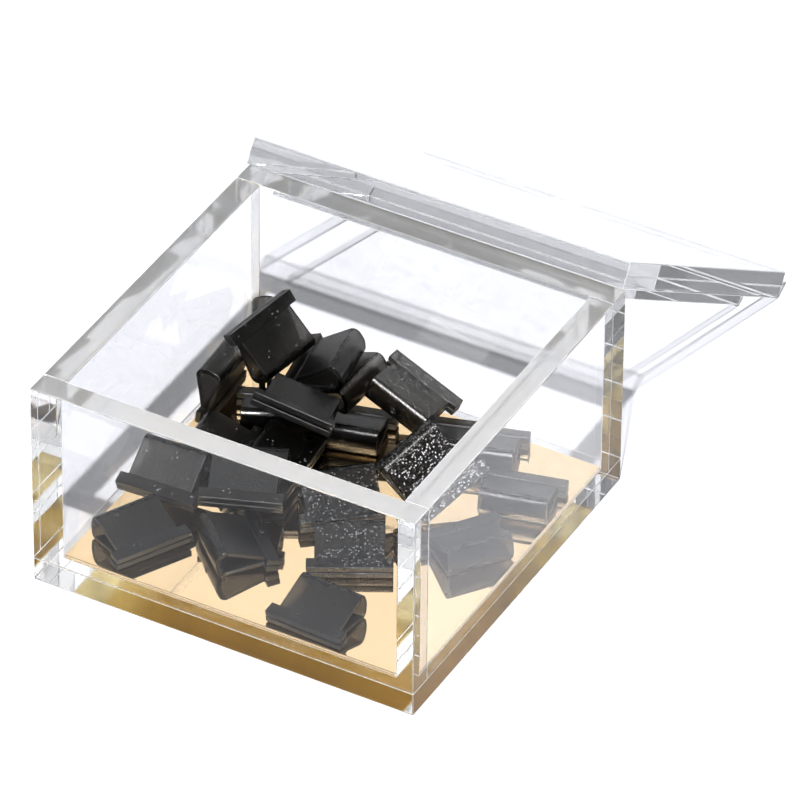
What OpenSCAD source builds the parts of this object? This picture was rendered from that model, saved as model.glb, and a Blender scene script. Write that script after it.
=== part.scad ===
// Square box of clear acrylic sheet with a gold mirror floor, its loose two-layer lid leaning
// against the back wall, and the small spring clips that it holds.
// Origin: centre of the box's underside. +X right, +Y towards the leaning lid, +Z up.

/* [Box] */
// Outside width and depth of the square box
box_side = 101.6; // [92:0.1:112]
// Height of the box without its lid
box_height = 56; // [50:0.5:62]
// Thickness of the sheet that the base and the walls are cut from
sheet = 6.35; // [5:0.05:7]

/* [Floor sheet] */
// Thickness of the gold mirror sheet on the floor of the box
mirror_thickness = 1; // [0.8:0.1:1.5]
// Gap between the mirror sheet and each wall
mirror_gap = 0.2; // [0.1:0.05:0.5]

/* [Lid] */
// Thickness of the lid's upper plate
lid_thickness = 6.8; // [5:0.1:7.5]
// Thickness of the plate under the lid that drops between the walls
locator_thickness = 4; // [3:0.1:4.5]
// Gap between the closed lid's lower plate and each wall
locator_gap = 0.5; // [0.3:0.05:1]
// How far the leaning lid reaches over the back wall's top edge
lid_overhang = 2; // [1:0.1:4]

/* [Clips] */
// Length of a clip's hollow body
clip_width = 16.5; // [16:0.1:16.8]
// Length of the two jaw bars
jaw_width = 20.4; // [19:0.1:20.6]
// Depth of a clip from its jaws to its spine
clip_depth = 15; // [14.6:0.1:15.1]
// Thickness of a clip at its spine
spine_height = 7; // [6.6:0.1:7.1]
// Wall thickness of a clip
clip_wall = 1.1; // [0.9:0.05:1.3]
// Depth of each jaw bar
jaw_depth = 3.2; // [2.8:0.1:3.4]
// Thickness of each jaw bar
jaw_thickness = 1.5; // [1.3:0.05:1.55]

/* [Hidden] */

half = box_side / 2;
wall_height = box_height - sheet;
cavity = box_side - 2 * sheet;
floor_top = sheet + mirror_thickness;

// The lid's underside rests on the back wall's outer top edge and its rear edge on the ground.
lean = asin(box_height / (box_side - lid_overhang));
rest_gap = 0.03;
locator_inset = sheet + locator_gap;

// The jaws stand this far apart when a clip is shut.
jaw_slit = 0.4;
jaw_height = jaw_slit + 2 * jaw_thickness;
// Step from the back of a jaw in to the flank behind it.
jaw_step = 0.4;
// The spine is rounded into both flanks and bulges a little at its middle.
spine_radius = 1.9;
spine_bow = 0.3;
inner_radius = spine_radius - clip_wall + 0.3;
// The rounds run between these angles, in this many steps outside and inside.
flank_angle = 100;
spine_angle = 8;
outer_steps = 6;
inner_steps = 4;

// Where each clip lies: x, y and height above the floor of its middle, then its turn about
// the vertical, the tip that raises its spine, and its roll about the line from jaws to spine.
// A clip that lies on one flank tips by 7 degrees, with its middle 2.9 mm above the floor.
CLIPS = [
    [-34.25, -13.5, 7.5, 3, 20, 0],
    [-15.5, -10, 9.5, 21, 10, 0],
    [-32, -31.5, 2.9, 62, 7, 0],
    [-10, -23.5, 2.9, 137, 7, 0],
    [3, 1.5, 2.9, 40, 7, 0],
    [14.5, -13, 2.9, 29, 7, 0],
    [19.5, -36, 2.9, -3, 7, 0],
    [18.5, 33.5, 2.9, 198, 7, 0],
    [34.5, 22, 2.9, 194, 7, 0],
    [33, 0, 2.9, 234, 7, 0],
    [-8.5, 25, 2.9, 195, 7, 0],
    [-30, 25, 21, 267, -55, 14],
    [-40.8, 20.5, 8.5, 93, 96, 0],
    [-18.5, 30.5, 15, -80, 20, 0],
    [-15, 33, 9.5, -97.5, 12, 5],
    [2, 35.5, 9.5, 175, 0, -20],
    [-15.75, 13, 14.5, 15, -20, 15],
    [18, 12, 10, 90, 45, -30],
    [-37, 34.5, 11.5, -60, 90, 0],
    [-31.5, 2.5, 2.9, 95, 7, 0],
    [-26.75, 22, 2.9, 205, 7, 0],
    [-16.5, 5, 3.9, 95, 7, 0]
];

function arc(centre, radius, from, to, steps) =
    [for (i = [0:steps])
        let (a = from + (to - from) * i / steps)
        centre + radius * [cos(a), sin(a)]];

function flip(points) = [for (i = [len(points) - 1:-1:0]) [points[i][0], -points[i][1]]];

// Upper half of the outside of the body, from the jaws' front to the middle of the spine.
function outer_half() =
    let (
        front = -clip_depth / 2,
        back = clip_depth / 2,
        corner = [back - spine_bow - spine_radius, spine_height / 2 - spine_radius]
    )
    concat(
        [[front, jaw_slit / 2], [front, jaw_height / 2], [front + jaw_depth, jaw_height / 2],
         [front + jaw_depth, jaw_height / 2 - jaw_step]],
        arc(corner, spine_radius, flank_angle, spine_angle, outer_steps),
        [[back, 0]]
    );

// Upper half of the hollow inside, from the middle of the spine to the slit between the jaws.
function inner_half() =
    let (
        front = -clip_depth / 2 + jaw_depth,
        back = clip_depth / 2 - clip_wall,
        corner = [back - spine_bow - inner_radius, spine_height / 2 - clip_wall - inner_radius]
    )
    concat(
        [[back, 0]],
        arc(corner, inner_radius, spine_angle, flank_angle, inner_steps),
        [[front, jaw_slit / 2]]
    );

function clip_section() =
    concat(outer_half(), flip(outer_half()), flip(inner_half()), inner_half());

module across(width) {
    rotate([90, 0, 90]) translate([0, 0, -width / 2]) linear_extrude(width) children();
}

module clip() {
    across(clip_width) polygon(clip_section());
    for (bottom = [-jaw_height / 2, jaw_slit / 2])
        translate([-jaw_width / 2, -clip_depth / 2, bottom])
            cube([jaw_width, jaw_depth, jaw_thickness]);
}

module placed_clip(index) {
    place = CLIPS[index];
    color([0.1, 0.1, 0.11])
        translate([place[0], place[1], floor_top + place[2]])
        rotate([0, 0, place[3]])
        rotate([place[4], 0, 0])
        rotate([0, place[5], 0])
        clip();
}

module base_plate() {
    color([0.9, 0.93, 0.93, 0.4])
        translate([-half, -half, 0]) cube([box_side, box_side, sheet]);
}

module gold_sheet() {
    side = cavity - 2 * mirror_gap;
    color([0.93, 0.76, 0.48])
        translate([-side / 2, -side / 2, sheet]) cube([side, side, mirror_thickness]);
}

// The front and back walls run the full width; the side walls fit between them.
module long_wall() {
    translate([-half, -half, sheet]) cube([box_side, sheet, wall_height]);
}

module front_wall() {
    color([0.9, 0.93, 0.93, 0.4]) long_wall();
}

module back_wall() {
    color([0.9, 0.93, 0.93, 0.4]) mirror([0, 1, 0]) long_wall();
}

module right_wall() {
    color([0.9, 0.93, 0.93, 0.4])
        translate([half - sheet, -cavity / 2, sheet]) cube([sheet, cavity, wall_height]);
}

module left_wall() {
    mirror([1, 0, 0]) right_wall();
}

// Puts a lid part, drawn flat with its front lower edge on the X axis, where the lid leans.
module leaning() {
    translate([0, half, box_height])
        rotate([-lean, 0, 0])
        translate([0, -lid_overhang, rest_gap])
        children();
}

module lid_plate() {
    color([0.9, 0.93, 0.93, 0.4])
        leaning() translate([-half, 0, 0]) cube([box_side, box_side, lid_thickness]);
}

module lid_locator() {
    side = box_side - 2 * locator_inset;
    color([0.9, 0.93, 0.93, 0.4])
        leaning()
        translate([-side / 2, locator_inset, -locator_thickness])
        cube([side, side, locator_thickness]);
}

base_plate();
gold_sheet();
front_wall();
back_wall();
left_wall();
right_wall();
lid_plate();
lid_locator();
placed_clip(0);  // clip_01
placed_clip(1);  // clip_02
placed_clip(2);  // clip_03
placed_clip(3);  // clip_04
placed_clip(4);  // clip_05
placed_clip(5);  // clip_06
placed_clip(6);  // clip_07
placed_clip(7);  // clip_08
placed_clip(8);  // clip_09
placed_clip(9);  // clip_10
placed_clip(10);  // clip_11
placed_clip(11);  // clip_12
placed_clip(12);  // clip_13
placed_clip(13);  // clip_14
placed_clip(14);  // clip_15
placed_clip(15);  // clip_16
placed_clip(16);  // clip_17
placed_clip(17);  // clip_18
placed_clip(18);  // clip_19
placed_clip(19);  // clip_20
placed_clip(20);  // clip_21
placed_clip(21);  // clip_22
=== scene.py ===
"""Clear acrylic box with a gold mirror floor, dark spring clips in it and its lid leaning on it."""

import math

import bmesh
import bpy
from mathutils import Matrix, Vector


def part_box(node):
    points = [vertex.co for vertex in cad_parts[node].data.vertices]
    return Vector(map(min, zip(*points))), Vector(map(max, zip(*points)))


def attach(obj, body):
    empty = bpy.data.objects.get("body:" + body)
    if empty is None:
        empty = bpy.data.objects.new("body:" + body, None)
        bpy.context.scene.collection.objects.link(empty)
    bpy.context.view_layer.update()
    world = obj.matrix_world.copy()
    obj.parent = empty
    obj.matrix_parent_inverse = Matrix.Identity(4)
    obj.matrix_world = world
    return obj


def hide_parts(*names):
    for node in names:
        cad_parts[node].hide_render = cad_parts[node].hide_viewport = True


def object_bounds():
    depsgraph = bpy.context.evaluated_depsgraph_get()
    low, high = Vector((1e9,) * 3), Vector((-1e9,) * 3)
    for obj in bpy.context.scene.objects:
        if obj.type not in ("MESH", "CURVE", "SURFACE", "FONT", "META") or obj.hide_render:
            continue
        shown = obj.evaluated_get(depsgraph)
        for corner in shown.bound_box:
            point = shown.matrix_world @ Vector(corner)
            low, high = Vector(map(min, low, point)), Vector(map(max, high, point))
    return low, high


MM = 0.001
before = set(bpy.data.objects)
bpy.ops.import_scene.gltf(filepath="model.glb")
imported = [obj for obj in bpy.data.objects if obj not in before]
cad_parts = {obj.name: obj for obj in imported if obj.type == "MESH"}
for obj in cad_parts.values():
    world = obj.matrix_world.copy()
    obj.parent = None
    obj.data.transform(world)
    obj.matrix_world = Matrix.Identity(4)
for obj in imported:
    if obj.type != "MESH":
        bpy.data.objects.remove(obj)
cad_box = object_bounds()

# Camera, a long lens from the front right, above
CAMERA_AZIMUTH = 28.76
CAMERA_ELEVATION = 37.53
CAMERA_ROLL = 0.6
CAMERA_DISTANCE = 1.9987
CAMERA_TARGET = Vector((5.95, 23.16, 25.0)) * MM
CAMERA_LENS = 381.2
SENSOR_WIDTH = 36.0

# Box and lid
BOX_NODES = ["base_plate", "front_wall", "back_wall", "left_wall", "right_wall"]
LID_NODES = ["lid_plate", "lid_locator"]
EDGE_BEVEL = 0.26 * MM
BEVEL_STEPS = 2
TOUCH = 0.05 * MM  # how far outside a face another plate is looked for
SQUARE_ON = 0.99  # least part of a flat face's normal along one axis
SAME_WAY = 0.9  # normals with a larger product count as one direction
LOWEST_BEAD = -0.3  # least Z of a bevel's normal where a cement bead is seen
SLICE_SNAP = 1e-7  # metres
SHEET_LIFT = 0.01 * MM  # keeps the gold sheet off the base plate
SHEET_BEVEL = 0.1 * MM

# Clips, in their own frame: X along the spine, Y from the jaws to the spine, Z through
CLIP_BODY = 16.5 * MM  # along X; the jaw bars are as long as the CAD clip
CLIP_WALL = 1.1 * MM
INNER_EASE = 0.3 * MM  # the hollow's corners are this much rounder than the wall makes them
JAW_DEPTH = 3.2 * MM
JAW_THICKNESS = 1.5 * MM
JAW_SLIT = 0.4 * MM
JAW_STEP = 0.4 * MM
SPINE_RADIUS = 1.9 * MM
SPINE_BOW = 0.32 * MM
FLANK_ANGLE = 100  # degrees, where the spine's corner meets the flank
SPINE_ANGLE = 8  # degrees, where it meets the back
CLIP_BEVEL = 0.19 * MM
SHARP_ANGLE = 30  # degrees, edges above this are bevelled
GATE_RADIUS = 0.62 * MM
GATE_LINE = 0.2 * MM
GATE_SINK = 0.04 * MM
GATE_DOT = 0.16 * MM
SPECKS_PER_METRE = 1900
# These clips get denser, paler specks: grain together with painted glints, and on clip_16 they
# stand in for the sheen on its jaw bar.
GLITTER_AND_GLINT_CLIPS = ["clip_18"]
SPARKLY = ["clip_05", "clip_06", "clip_16"]
JACOBI_SWEEPS = 30
JACOBI_ZERO = 1e-16

# Materials
ACRYLIC_IOR = 1.49
PLASTIC_IOR = 1.5
SMOKE_COLOUR = (0.15, 0.13, 0.1)
SMOKE_DENSITY = 850.0
FROST_WHITE = (0.93, 0.94, 0.95)
SEAM_WHITE = (0.9, 0.92, 0.94)
BEAD_WHITE = (0.95, 0.95, 0.95)

# Studio
FLOOR_SIDE = 9.0
FLOOR_GAP = 0.15 * MM
FLOOR_TINT = (0.945, 0.953, 1.0)
KEY_DIRECTION = Vector((15, -35, 62)).normalized()
BACKDROP_DIRECTION = Vector((-0.38, 0.92, 0.0)).normalized()
FILL_SHARE = 0.32  # of the studio's own light that reaches matt surfaces
# Name, distance, side, power, and whether it shows only as a sheen
LAMPS = [
    ("key", 4.0, 0.08, 208, False),
    ("key_glow", 2.0, 0.4, 4, False),
    ("softbox", 1.8, 1.2, 46, True),
]


# ---------------------------------------------------------------- materials


def new_material(name):
    material = bpy.data.materials.new(name)
    material.use_nodes = True
    tree = material.node_tree
    tree.nodes.clear()
    return material, tree


def put(tree, socket, value):
    if isinstance(value, bpy.types.NodeSocket):
        tree.links.new(value, socket)
    else:
        socket.default_value = value


def add(tree, kind, **inputs):
    """Adds a node and sets its inputs by name: another node's output links to its input."""
    node = tree.nodes.new(kind)
    for name, value in inputs.items():
        put(tree, node.inputs[name.replace("_", " ")], value)
    return node


def object_point(tree):
    return tree.nodes.new("ShaderNodeTexCoord").outputs["Object"]


def noise(tree, point, scale, detail=2.0, roughness=0.5):
    node = add(tree, "ShaderNodeTexNoise", Vector=point, Scale=scale, Detail=detail,
               Roughness=roughness)
    return node.outputs["Fac"]


def remap(tree, value, low, high, to_low, to_high):
    node = add(tree, "ShaderNodeMapRange", Value=value, From_Min=low, From_Max=high,
               To_Min=to_low, To_Max=to_high)
    return node.outputs["Result"]


def bump(tree, height, strength, distance, normal=None):
    node = add(tree, "ShaderNodeBump", Height=height, Strength=strength, Distance=distance)
    if normal is not None:
        tree.links.new(normal, node.inputs["Normal"])
    return node.outputs["Normal"]


def finish(tree, shader, volume=None):
    output = tree.nodes.new("ShaderNodeOutputMaterial")
    tree.links.new(shader, output.inputs["Surface"])
    if volume is not None:
        tree.links.new(volume, output.inputs["Volume"])


def math_node(tree, operation, *values):
    node = tree.nodes.new("ShaderNodeMath")
    node.operation = operation
    for socket, value in zip(node.inputs, values):
        put(tree, socket, value)
    return node.outputs[0]


def mix_colours(tree, factor, first, second):
    node = add(tree, "ShaderNodeMix", Factor=factor)
    node.data_type = "RGBA"
    colour_a, colour_b = (s for s in node.inputs if s.type == "RGBA")
    colour_a.default_value = (*first, 1)
    colour_b.default_value = (*second, 1)
    return next(s for s in node.outputs if s.type == "RGBA")


def mix_shader(tree, share, first, second):
    node = tree.nodes.new("ShaderNodeMixShader")
    for socket, value in zip(node.inputs, (share, first, second)):
        put(tree, socket, value)
    return node.outputs[0]


def white_shader(tree, colour):
    """Matt white that is lit from both sides."""
    front = add(tree, "ShaderNodeBsdfDiffuse", Color=(*colour, 1))
    behind = add(tree, "ShaderNodeBsdfTranslucent", Color=(*colour, 1))
    return mix_shader(tree, 0.5, front.outputs[0], behind.outputs[0])


def lets_light_through(tree, shader, share):
    """Rays from lamps and from matt surfaces pass straight through, dimmed to share."""
    path = tree.nodes.new("ShaderNodeLightPath")
    either = math_node(tree, "MAXIMUM", path.outputs["Is Shadow Ray"],
                       path.outputs["Is Diffuse Ray"])
    clear = add(tree, "ShaderNodeBsdfTransparent", Color=(share, share, share, 1))
    return mix_shader(tree, either, shader, clear.outputs[0])


def acrylic_material(name, light_share, streaks, tint, satin=0.0, frost=0.0):
    """Clear sheet that passes light_share of lamp light. streaks adds faint saw lines, satin
    is its least roughness, frost is its share of matt white, and tint darkens what is seen
    through it: well below 1 it is painted shade."""
    material, tree = new_material(name)
    point = object_point(tree)
    if streaks:
        stretched = add(tree, "ShaderNodeMapping", Vector=point, Scale=(1.0, 1.0, 0.05))
        height = noise(tree, stretched.outputs[0], 900, 2)
        normal = bump(tree, height, 0.12, 0.02 * MM)
    else:
        height = noise(tree, point, 45, 2)
        normal = bump(tree, height, 0.05, 0.05 * MM)
    specks = noise(tree, point, 1400, 2, 0.6)
    rough = remap(tree, specks, 0.5, 0.85, satin, satin + 0.02)
    glass = add(tree, "ShaderNodeBsdfPrincipled", Roughness=rough, IOR=ACRYLIC_IOR,
                Normal=normal)
    glass.inputs["Base Color"].default_value = (tint * 0.995, tint * 0.998, tint, 1)
    glass.inputs["Transmission Weight"].default_value = 1.0
    shader = lets_light_through(tree, glass.outputs[0], light_share)
    if frost:
        shader = mix_shader(tree, frost, shader, white_shader(tree, FROST_WHITE))
    finish(tree, shader)
    return material


def seam_material():
    """Cemented joint between two plates: clear, with small bubbles that catch the light."""
    material, tree = new_material("cement_seam")
    point = object_point(tree)
    bubbles = add(tree, "ShaderNodeTexVoronoi", Vector=point, Scale=1500.0)
    dots = remap(tree, bubbles.outputs["Distance"], 0.2, 0.12, 0.0, 1.0)
    patches = remap(tree, noise(tree, point, 110, 3), 0.52, 0.62, 0.0, 1.0)
    haze = remap(tree, noise(tree, point, 260, 4), 0.35, 0.8, 0.015, 0.12)
    whiteness = math_node(tree, "MULTIPLY_ADD", dots, patches, haze)
    share = remap(tree, whiteness, 0.0, 1.0, 0.0, 0.6)
    clear = add(tree, "ShaderNodeBsdfTransparent", Color=(1, 1, 1, 1))
    finish(tree, mix_shader(tree, share, clear.outputs[0], white_shader(tree, SEAM_WHITE)))
    return material


def bead_material():
    """Whitish line where the cement comes to the surface along a joint."""
    material, tree = new_material("cement_bead")
    point = object_point(tree)
    share = remap(tree, noise(tree, point, 500, 3), 0.3, 0.7, 0.75, 1.0)
    clear = add(tree, "ShaderNodeBsdfTransparent", Color=(1, 1, 1, 1))
    finish(tree, mix_shader(tree, share, clear.outputs[0], white_shader(tree, BEAD_WHITE)))
    return material


def gold_material():
    """Gold mirror sheet, very slightly wavy, with fine dust."""
    material, tree = new_material("gold_mirror_sheet")
    point = object_point(tree)
    normal = bump(tree, noise(tree, point, 60, 1), 0.04, 0.05 * MM)
    rough = remap(tree, noise(tree, point, 900, 3), 0.5, 0.85, 0.015, 0.12)
    tint = mix_colours(tree, noise(tree, point, 25, 2), (0.90, 0.69, 0.43), (0.94, 0.74, 0.48))
    gold = add(tree, "ShaderNodeBsdfPrincipled", Base_Color=tint, Metallic=1.0, Roughness=rough,
               Normal=normal)
    gold.inputs["Coat Weight"].default_value = 0.6
    gold.inputs["Coat Roughness"].default_value = 0.02
    finish(tree, gold.outputs[0])
    return material


def backing_material():
    """Streaky brown-gold back of the mirror sheet, seen through the base plate's edges."""
    material, tree = new_material("gold_mirror_back")
    point = object_point(tree)
    rough = remap(tree, noise(tree, point, 350, 3), 0.3, 0.7, 0.1, 0.18)
    stretched = add(tree, "ShaderNodeMapping", Vector=point, Scale=(0.1, 1.0, 1.0))
    tint = mix_colours(tree, noise(tree, stretched.outputs[0], 160, 3), (0.73, 0.59, 0.27),
                       (0.99, 0.84, 0.45))
    back = add(tree, "ShaderNodeBsdfPrincipled", Base_Color=tint, Metallic=1.0,
               Roughness=rough)
    finish(tree, back.outputs[0])
    return material


def clip_material(name, speck_and_glint_share, speck_and_glint_grey):
    """Smoke-black translucent plastic, grainy on the flanks and glossier along the spine.
    Its last two arguments are the share of its grains that are pale specks and how pale they
    are; the specks are partly grain and partly painted glints of the key light."""
    material, tree = new_material(name)
    point = object_point(tree)
    along = tree.nodes.new("ShaderNodeSeparateXYZ")
    tree.links.new(point, along.inputs[0])
    flank = remap(tree, along.outputs["Y"], 4.2 * MM, 6.2 * MM, 1.0, 0.3)
    grain = math_node(tree, "MULTIPLY", noise(tree, point, 1600, 2, 0.6), flank)
    wave = bump(tree, noise(tree, point, 260, 2), 0.12, 0.1 * MM)
    normal = bump(tree, grain, 0.7, 0.14 * MM, wave)
    # Pale specks on the flanks: partly grain, partly painted glints of the key light.
    specks = add(tree, "ShaderNodeTexVoronoi", Vector=point, Scale=SPECKS_PER_METRE)
    pick = tree.nodes.new("ShaderNodeSeparateColor")
    tree.links.new(specks.outputs["Color"], pick.inputs[0])
    chosen = remap(tree, pick.outputs[0], 1 - speck_and_glint_share, 1 - speck_and_glint_share * 0.7, 0.0, 1.0)
    round_spot = remap(tree, specks.outputs["Distance"], 0.32, 0.55, 1.0, 0.0)
    speck_and_glint_mask = math_node(tree, "MULTIPLY", math_node(tree, "MULTIPLY", chosen, round_spot), flank)
    smooth = remap(tree, flank, 0.3, 1.0, 0.15, 0.27)
    rough = math_node(tree, "MULTIPLY_ADD", noise(tree, point, 420, 3), 0.12, smooth)
    colour = mix_colours(tree, speck_and_glint_mask, (0.42, 0.41, 0.40),
                         (speck_and_glint_grey, speck_and_glint_grey, speck_and_glint_grey * 1.04))
    clear = remap(tree, speck_and_glint_mask, 0.0, 1.0, 1.0, 0.15)
    plastic = add(tree, "ShaderNodeBsdfPrincipled", Base_Color=colour, Roughness=rough,
                  IOR=PLASTIC_IOR, Normal=normal, Transmission_Weight=clear)
    plastic.inputs["Specular IOR Level"].default_value = 0.34
    smoke = add(tree, "ShaderNodeVolumeAbsorption", Color=(*SMOKE_COLOUR, 1),
                Density=SMOKE_DENSITY)
    finish(tree, plastic.outputs[0], smoke.outputs[0])
    return material


def floor_material():
    """Matt white paper. Mirror reflections see it darker in front of the box."""
    material, tree = new_material("floor_white")
    point = object_point(tree)
    path = tree.nodes.new("ShaderNodeLightPath")
    mirrored = math_node(tree, "SUBTRACT", path.outputs["Is Glossy Ray"],
                         path.outputs["Is Transmission Ray"])
    shade = remap(tree, noise(tree, point, 6, 2), 0.2, 0.8, 0.86, 0.88)
    place = tree.nodes.new("ShaderNodeSeparateXYZ")
    tree.links.new(point, place.inputs[0])
    in_front = remap(tree, place.outputs["Y"], -0.09, -0.03, 0.2, 1.1)
    shade = math_node(tree, "MULTIPLY", shade, remap(tree, mirrored, 0.0, 1.0, 1.0, in_front))
    colour = tree.nodes.new("ShaderNodeCombineColor")
    for socket, share in zip(colour.inputs, FLOOR_TINT):
        tree.links.new(math_node(tree, "MULTIPLY", shade, share), socket)
    paper = add(tree, "ShaderNodeBsdfPrincipled", Base_Color=colour.outputs[0], Roughness=0.9)
    paper.inputs["Specular IOR Level"].default_value = 0.1
    finish(tree, paper.outputs[0])
    return material


ACRYLIC_FACE = acrylic_material("clear_acrylic", 0.975, False, 1.0)
# The edge's low tint is painted shade that darkens what is seen through the plates' side faces.
ACRYLIC_EDGE = acrylic_material("clear_acrylic_edge", 0.8, True, 0.66)
ACRYLIC_BEVEL = acrylic_material("clear_acrylic_bevel", 0.08, False, 0.95, frost=0.4)
# The rim's low tint is painted shade that greys the walls' top faces.
ACRYLIC_RIM = acrylic_material("clear_acrylic_rim", 0.35, True, 0.32, 0.1, frost=0.3)
SEAM = seam_material()
BEAD = bead_material()
GOLD = gold_material()
GOLD_BACK = backing_material()
# The pale specks of these plastics are partly painted glints of the key light.
SMOKE = clip_material("smoke_plastic", 0.02, 0.3)
SPARKLE = clip_material("smoke_plastic_sparkle", 0.3, 0.24)
GLITTER_AND_GLINTS = clip_material("smoke_plastic_glitter_and_glints", 0.5, 0.85)
# Every plate has these, in this order
FACE, EDGE, JOINT, LINE, BEVEL, RIM = range(6)
PLATE_MATERIALS = [ACRYLIC_FACE, ACRYLIC_EDGE, SEAM, BEAD, ACRYLIC_BEVEL, ACRYLIC_RIM]


# ---------------------------------------------------------------- acrylic plates


def to_data(mesh, name):
    data = bpy.data.meshes.new(name)
    mesh.to_mesh(data)
    mesh.free()
    return data


def nearest_normal(normals, axis):
    best = max(normals, key=lambda normal: abs(normal.dot(axis)))
    return best if best.dot(axis) > 0 else -best


def plate_turn(node):
    """Rotation whose axes are the plate's own face normals, X and Z nearest to the world's."""
    normals = []
    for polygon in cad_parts[node].data.polygons:
        normal = polygon.normal.normalized()
        if all(abs(normal.dot(seen)) < SAME_WAY for seen in normals):
            normals.append(normal.copy())
    x_axis = nearest_normal(normals, Vector((1, 0, 0)))
    z_axis = nearest_normal(normals, Vector((0, 0, 1)))
    y_axis = z_axis.cross(x_axis)
    return Matrix((x_axis, y_axis, z_axis)).transposed()


def local_box(node, turn):
    back = turn.transposed()
    points = [back @ v.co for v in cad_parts[node].data.vertices]
    low = Vector(min(p[a] for p in points) for a in range(3))
    high = Vector(max(p[a] for p in points) for a in range(3))
    return low, high


def inside(point, corners, reach=0.0):
    low, high = corners
    return all(low[a] - reach < point[a] < high[a] + reach for a in range(3))


def bevelled_slab(low, high, bevel):
    mesh = bmesh.new()
    bmesh.ops.create_cube(mesh, size=1.0)
    size = high - low
    for vertex in mesh.verts:
        vertex.co = Vector(low[a] + size[a] * (vertex.co[a] + 0.5) for a in range(3))
    bmesh.ops.bevel(mesh, geom=mesh.edges[:], offset=bevel, segments=BEVEL_STEPS, profile=0.5,
                    affect="EDGES")
    return mesh


def face_kind(face, thin, others):
    """Which of the plate materials a face takes: thin is the axis of the plate's thickness."""
    middle, normal = face.calc_center_median(), face.normal
    if any(inside(middle + normal * TOUCH, other) for other in others):
        return JOINT
    if max(abs(normal[a]) for a in range(3)) < SQUARE_ON:
        beaded = any(inside(middle, other, EDGE_BEVEL) for other in others)
        return LINE if beaded and normal.z > LOWEST_BEAD else BEVEL
    if abs(normal[thin]) > SQUARE_ON:
        return FACE
    return RIM if normal.z > SQUARE_ON else EDGE


def plate_mesh(node, turn, boxes):
    """One bevelled plate, its faces split where other plates are cemented to it."""
    low, high = boxes[node]
    thin = min(range(3), key=lambda a: high[a] - low[a])
    mesh = bevelled_slab(low, high, EDGE_BEVEL)
    others = [boxes[name] for name in boxes if name != node]
    for other in others:
        for corner in other:
            for axis in range(3):
                if low[axis] + EDGE_BEVEL < corner[axis] < high[axis] - EDGE_BEVEL:
                    normal = Vector((0, 0, 0))
                    normal[axis] = 1
                    bmesh.ops.bisect_plane(
                        mesh, geom=mesh.verts[:] + mesh.edges[:] + mesh.faces[:],
                        plane_co=corner, plane_no=normal, dist=SLICE_SNAP)
    mesh.normal_update()
    for face in mesh.faces:
        face.material_index = face_kind(face, thin, others)
    bmesh.ops.transform(mesh, matrix=turn.to_4x4(), verts=mesh.verts)
    return to_data(mesh, node + "_acrylic")


def show(name, data, body, node):
    piece = bpy.data.objects.new(name, data)
    bpy.context.scene.collection.objects.link(piece)
    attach(piece, body)
    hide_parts(node)
    return piece


def build_plates(nodes, body, extra=()):
    """Plates cemented together; the nodes in extra only split their faces."""
    turn = plate_turn(nodes[0])
    boxes = {name: local_box(name, turn) for name in [*nodes, *extra]}
    for node in nodes:
        data = plate_mesh(node, turn, boxes)
        for material in PLATE_MATERIALS:
            data.materials.append(material)
        show(node + "_acrylic", data, body, node)


# ---------------------------------------------------------------- gold sheet


def build_gold():
    """Mirror sheet: a bevelled slab, held just off the base so that the two never coincide."""
    low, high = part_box("gold_sheet")
    mesh = bevelled_slab(low + Vector((0, 0, SHEET_LIFT)), high, SHEET_BEVEL)
    mesh.normal_update()
    for face in mesh.faces:
        face.material_index = 1 if face.normal.z < -0.5 else 0
    data = to_data(mesh, "gold_mirror")
    data.materials.append(GOLD)
    data.materials.append(GOLD_BACK)
    show("gold_mirror", data, "box", "gold_sheet")


# ---------------------------------------------------------------- clips


def arc(centre, radius, start, end, steps):
    for step in range(steps + 1):
        angle = math.radians(start + (end - start) * step / steps)
        yield (centre[0] + radius * math.cos(angle), centre[1] + radius * math.sin(angle))


def upside_down(points):
    return [(y, -z) for y, z in reversed(points)]


def clip_outline(depth, height):
    """The body's section as (y, z) points: round the outside, then round the hollow."""
    front, back = -depth / 2, depth / 2
    jaw_top = JAW_SLIT / 2 + JAW_THICKNESS
    corner = (back - SPINE_BOW - SPINE_RADIUS, height / 2 - SPINE_RADIUS)
    upper = [(front, JAW_SLIT / 2), (front, jaw_top), (front + JAW_DEPTH, jaw_top),
             (front + JAW_DEPTH, jaw_top - JAW_STEP)]
    upper += arc(corner, SPINE_RADIUS, FLANK_ANGLE, SPINE_ANGLE, 12)
    edge_y, edge_z = upper[-1]
    for share in (0.75, 0.5, 0.25):
        upper.append((back - (back - edge_y) * share ** 2, edge_z * share))
    radius = SPINE_RADIUS - CLIP_WALL + INNER_EASE
    inner = (back - CLIP_WALL - SPINE_BOW - radius, height / 2 - CLIP_WALL - radius)
    hollow = list(arc(inner, radius, SPINE_ANGLE, FLANK_ANGLE, 8))
    hollow.append((front + JAW_DEPTH, JAW_SLIT / 2))
    outside = upper + [(back, 0)] + upside_down(upper)
    return outside + upside_down(hollow) + [(back - CLIP_WALL, 0)] + hollow


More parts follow.
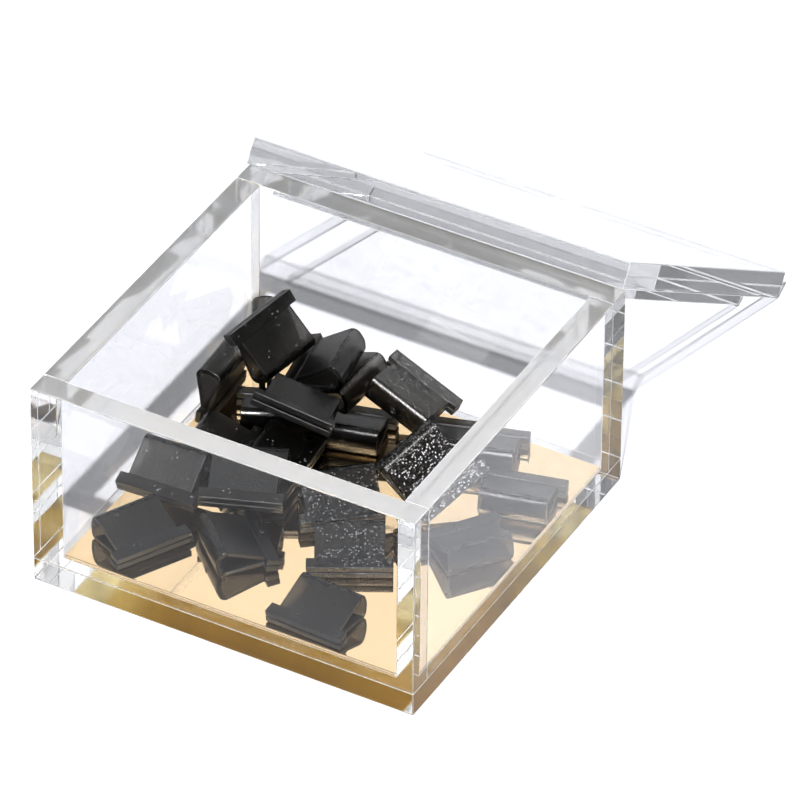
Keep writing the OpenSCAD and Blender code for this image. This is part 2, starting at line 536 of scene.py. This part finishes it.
def clip_mesh(length, depth, height):
    """A hollow body open at both ends, with two jaw bars that are longer than the body."""
    outline = clip_outline(depth, height)
    count = len(outline)
    half_body, half_jaw = CLIP_BODY / 2, length / 2
    mesh = bmesh.new()
    ends = {}
    for side in (-1, 1):
        ends[side] = [mesh.verts.new((side * half_body, y, z)) for y, z in outline]
    for k in range(count):
        n = (k + 1) % count
        mesh.faces.new((ends[-1][k], ends[-1][n], ends[1][n], ends[1][k]))
    # Point numbers of a jaw's corners: slit front, outer front, outer back, step; slit back.
    spine = outline.index((depth / 2, 0))
    upper = [0, 1, 2, 3, count - 1]
    lower_slit_back = 2 * spine + 1
    lower = [2 * spine, 2 * spine - 1, 2 * spine - 2, 2 * spine - 3, lower_slit_back]
    gone = {upper[0], upper[1], upper[2], lower[0], lower[1], lower[2]}
    for side in (-1, 1):
        ring = ends[side]
        mesh.faces.new([ring[k] for k in range(count) if k not in gone])
        for slit_front, outer_front, outer_back, step, slit_back in (upper, lower):
            corners = (slit_front, outer_front, outer_back, slit_back)
            tip = {k: mesh.verts.new((side * half_jaw, *outline[k])) for k in corners}
            for a, b in ((slit_front, outer_front), (outer_front, outer_back),
                         (slit_back, slit_front)):
                mesh.faces.new((ring[a], ring[b], tip[b], tip[a]))
            mesh.faces.new((ring[outer_back], ring[step], ring[slit_back], tip[slit_back],
                            tip[outer_back]))
            mesh.faces.new([tip[k] for k in corners])
    bmesh.ops.recalc_face_normals(mesh, faces=mesh.faces[:])
    sharp = [e for e in mesh.edges if len(e.link_faces) == 2
             and e.calc_face_angle(0) > math.radians(SHARP_ANGLE)]
    bmesh.ops.bevel(mesh, geom=sharp, offset=CLIP_BEVEL, segments=BEVEL_STEPS, profile=0.5,
                    affect="EDGES", clamp_overlap=True)
    add_gate_mark(mesh, depth / 2)
    for face in mesh.faces:
        face.smooth = True
    data = to_data(mesh, "spring_clip")
    data.materials.append(SMOKE)
    return data


def add_gate_mark(mesh, spine_y):
    """A low moulded ring with a dot in it, at the middle of the spine."""
    around, across = 28, 8
    rows = []
    for i in range(around):
        turn = 2 * math.pi * i / around
        row = []
        for j in range(across):
            tube = 2 * math.pi * j / across
            radius = GATE_RADIUS + GATE_LINE * math.cos(tube)
            height = spine_y - GATE_SINK + GATE_LINE * math.sin(tube)
            row.append(mesh.verts.new((radius * math.cos(turn), height,
                                       radius * math.sin(turn))))
        rows.append(row)
    for i in range(around):
        for j in range(across):
            a, b = rows[i], rows[(i + 1) % around]
            n = (j + 1) % across
            mesh.faces.new((a[j], a[n], b[n], b[j]))
    place = Matrix.Translation((0, spine_y, 0)) @ Matrix.Diagonal((1, 0.6, 1, 1))
    bmesh.ops.create_icosphere(mesh, subdivisions=2, radius=GATE_DOT, matrix=place)
    bmesh.ops.recalc_face_normals(mesh, faces=mesh.faces[:])


def clip_frame(node):
    """Where a clip lies and its sizes, from the second moments of its CAD solid's volume."""
    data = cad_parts[node].data
    data.calc_loop_triangles()
    origin = data.vertices[0].co.copy()
    volume, centre, second = 0.0, Vector((0, 0, 0)), Matrix.Diagonal((0, 0, 0))
    for triangle in data.loop_triangles:
        corners = [data.vertices[i].co - origin for i in triangle.vertices]
        part = corners[0].dot(corners[1].cross(corners[2])) / 6
        total = corners[0] + corners[1] + corners[2]
        volume += part
        centre += total * (part / 4)
        for a in range(3):
            for b in range(3):
                squares = sum(c[a] * c[b] for c in corners) + total[a] * total[b]
                second[a][b] += part * squares / 20
    centre /= volume
    for a in range(3):
        for b in range(3):
            second[a][b] = second[a][b] / volume - centre[a] * centre[b]
    axes = main_axes(second)
    points = [v.co for v in data.vertices]
    reach = [[p.dot(axis) for p in points] for axis in axes]
    middles = [(min(r) + max(r)) / 2 for r in reach]
    sizes = [max(r) - min(r) for r in reach]
    # The jaw bars outweigh the spine, so the centre of mass lies off towards the jaws.
    if (centre + origin).dot(axes[1]) > middles[1]:
        axes[1], middles[1] = -axes[1], -middles[1]
    if axes[0].cross(axes[1]).dot(axes[2]) < 0:
        axes[2], middles[2] = -axes[2], -middles[2]
    place = sum((axes[k] * middles[k] for k in range(3)), Vector((0, 0, 0)))
    turn = Matrix(axes).transposed().to_4x4()
    return Matrix.Translation(place) @ turn, sizes


def main_axes(matrix):
    """Eigenvectors of a symmetric 3 x 3 matrix, longest spread first, by Jacobi turns."""
    a = [list(row) for row in matrix]
    vectors = Matrix.Identity(3)
    for _ in range(JACOBI_SWEEPS):
        for p, q in ((0, 1), (0, 2), (1, 2)):
            if abs(a[p][q]) < JACOBI_ZERO:
                continue
            angle = 0.5 * math.atan2(2 * a[p][q], a[q][q] - a[p][p])
            turn = Matrix.Identity(3)
            turn[p][p] = turn[q][q] = math.cos(angle)
            turn[p][q], turn[q][p] = math.sin(angle), -math.sin(angle)
            product = turn.transposed() @ Matrix(a) @ turn
            a = [list(row) for row in product]
            vectors = vectors @ turn
    order = sorted(range(3), key=lambda k: -a[k][k])
    return [vectors.col[k].normalized() for k in order]


def build_clips():
    """All clips share one mesh, but for copies with more pale specks, which are partly painted
    glints.
    """
    clips = sorted(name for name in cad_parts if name.startswith("clip_"))
    plain = clip_mesh(*clip_frame(clips[0])[1])
    glitter_and_glints, sparkly = plain.copy(), plain.copy()
    glitter_and_glints.materials[0] = GLITTER_AND_GLINTS
    sparkly.materials[0] = SPARKLE
    for name in clips:
        place = clip_frame(name)[0]
        mesh = glitter_and_glints if name in GLITTER_AND_GLINT_CLIPS else sparkly if name in SPARKLY else plain
        piece = show(name + "_smoke", mesh, name, name)
        piece.matrix_world = place
        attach(piece, name)
        smooth = piece.modifiers.new("weighted", "WEIGHTED_NORMAL")
        smooth.mode = "FACE_AREA"
        smooth.weight = 80


# ---------------------------------------------------------------- studio


def build_floor():
    mesh = bmesh.new()
    bmesh.ops.create_grid(mesh, x_segments=4, y_segments=4, size=FLOOR_SIDE / 2)
    data = to_data(mesh, "floor")
    data.materials.append(floor_material())
    floor = bpy.data.objects.new("floor", data)
    floor.location.z = cad_box[0].z - FLOOR_GAP
    bpy.context.scene.collection.objects.link(floor)


def build_lamp(name, distance, side, power, sheen_only):
    lamp = bpy.data.lights.new(name, "AREA")
    lamp.shape = "SQUARE"
    lamp.size = side
    lamp.energy = power
    holder = bpy.data.objects.new(name, lamp)
    holder.location = CAMERA_TARGET + KEY_DIRECTION * distance
    holder.rotation_mode = "QUATERNION"
    holder.rotation_quaternion = KEY_DIRECTION.to_track_quat("Z", "Y")
    holder.visible_diffuse = not sheen_only
    bpy.context.scene.collection.objects.link(holder)


def build_world():
    """A studio that is bright behind the object, less so above and dark on the other side.
    Matt surfaces see it dimmer, so that the key's shadows stay deep."""
    world = bpy.data.worlds.new("studio")
    world.use_nodes = True
    bpy.context.scene.world = world
    tree = world.node_tree
    tree.nodes.clear()
    direction = tree.nodes.new("ShaderNodeTexCoord").outputs["Generated"]
    dot = tree.nodes.new("ShaderNodeVectorMath")
    dot.operation = "DOT_PRODUCT"
    tree.links.new(direction, dot.inputs[0])
    dot.inputs[1].default_value = BACKDROP_DIRECTION
    behind = remap(tree, dot.outputs["Value"], 0.1, 0.55, 0.08, 1.08)
    split = tree.nodes.new("ShaderNodeSeparateXYZ")
    tree.links.new(direction, split.inputs[0])
    above = remap(tree, split.outputs["Z"], 0.7, 0.95, 0.16, 0.65)
    light = math_node(tree, "MAXIMUM", behind, above)
    path = tree.nodes.new("ShaderNodeLightPath")
    fill = remap(tree, path.outputs["Is Diffuse Ray"], 0.0, 1.0, 1.0, FILL_SHARE)
    light = math_node(tree, "MULTIPLY", light, fill)
    background = add(tree, "ShaderNodeBackground", Color=(1, 1, 1, 1), Strength=light)
    output = tree.nodes.new("ShaderNodeOutputWorld")
    tree.links.new(background.outputs[0], output.inputs["Surface"])


def build_camera():
    azimuth, elevation = math.radians(CAMERA_AZIMUTH), math.radians(CAMERA_ELEVATION)
    back = Vector((math.sin(azimuth) * math.cos(elevation),
                   -math.cos(azimuth) * math.cos(elevation), math.sin(elevation)))
    right = Vector((math.cos(azimuth), math.sin(azimuth), 0))
    turn = Matrix((right, back.cross(right), back)).transposed()
    turn = turn @ Matrix.Rotation(math.radians(CAMERA_ROLL), 3, "Z")
    camera = bpy.data.objects.new("camera", bpy.data.cameras.new("camera"))
    camera.data.lens = CAMERA_LENS
    camera.data.sensor_width = SENSOR_WIDTH
    camera.data.clip_start, camera.data.clip_end = 0.1, 30
    place = Matrix.Translation(CAMERA_TARGET + back * CAMERA_DISTANCE)
    camera.matrix_world = place @ turn.to_4x4()
    bpy.context.scene.collection.objects.link(camera)
    bpy.context.scene.camera = camera


def light_paths():
    """The picture's tone, and enough bounces for light to cross the nested clear walls."""
    scene = bpy.context.scene
    scene.view_settings.view_transform = "Standard"
    scene.view_settings.gamma = 0.78
    scene.view_settings.exposure = 0.08
    cycles = scene.cycles
    cycles.max_bounces = 32
    cycles.transmission_bounces = 28
    cycles.glossy_bounces = 16
    cycles.diffuse_bounces = 3
    cycles.transparent_max_bounces = 48
    cycles.sample_clamp_indirect = 8.0


build_plates(BOX_NODES, "box", extra=["gold_sheet"])
build_plates(LID_NODES, "lid")
build_gold()
build_clips()
build_floor()
build_world()
for lamp in LAMPS:
    build_lamp(*lamp)
build_camera()
light_paths()
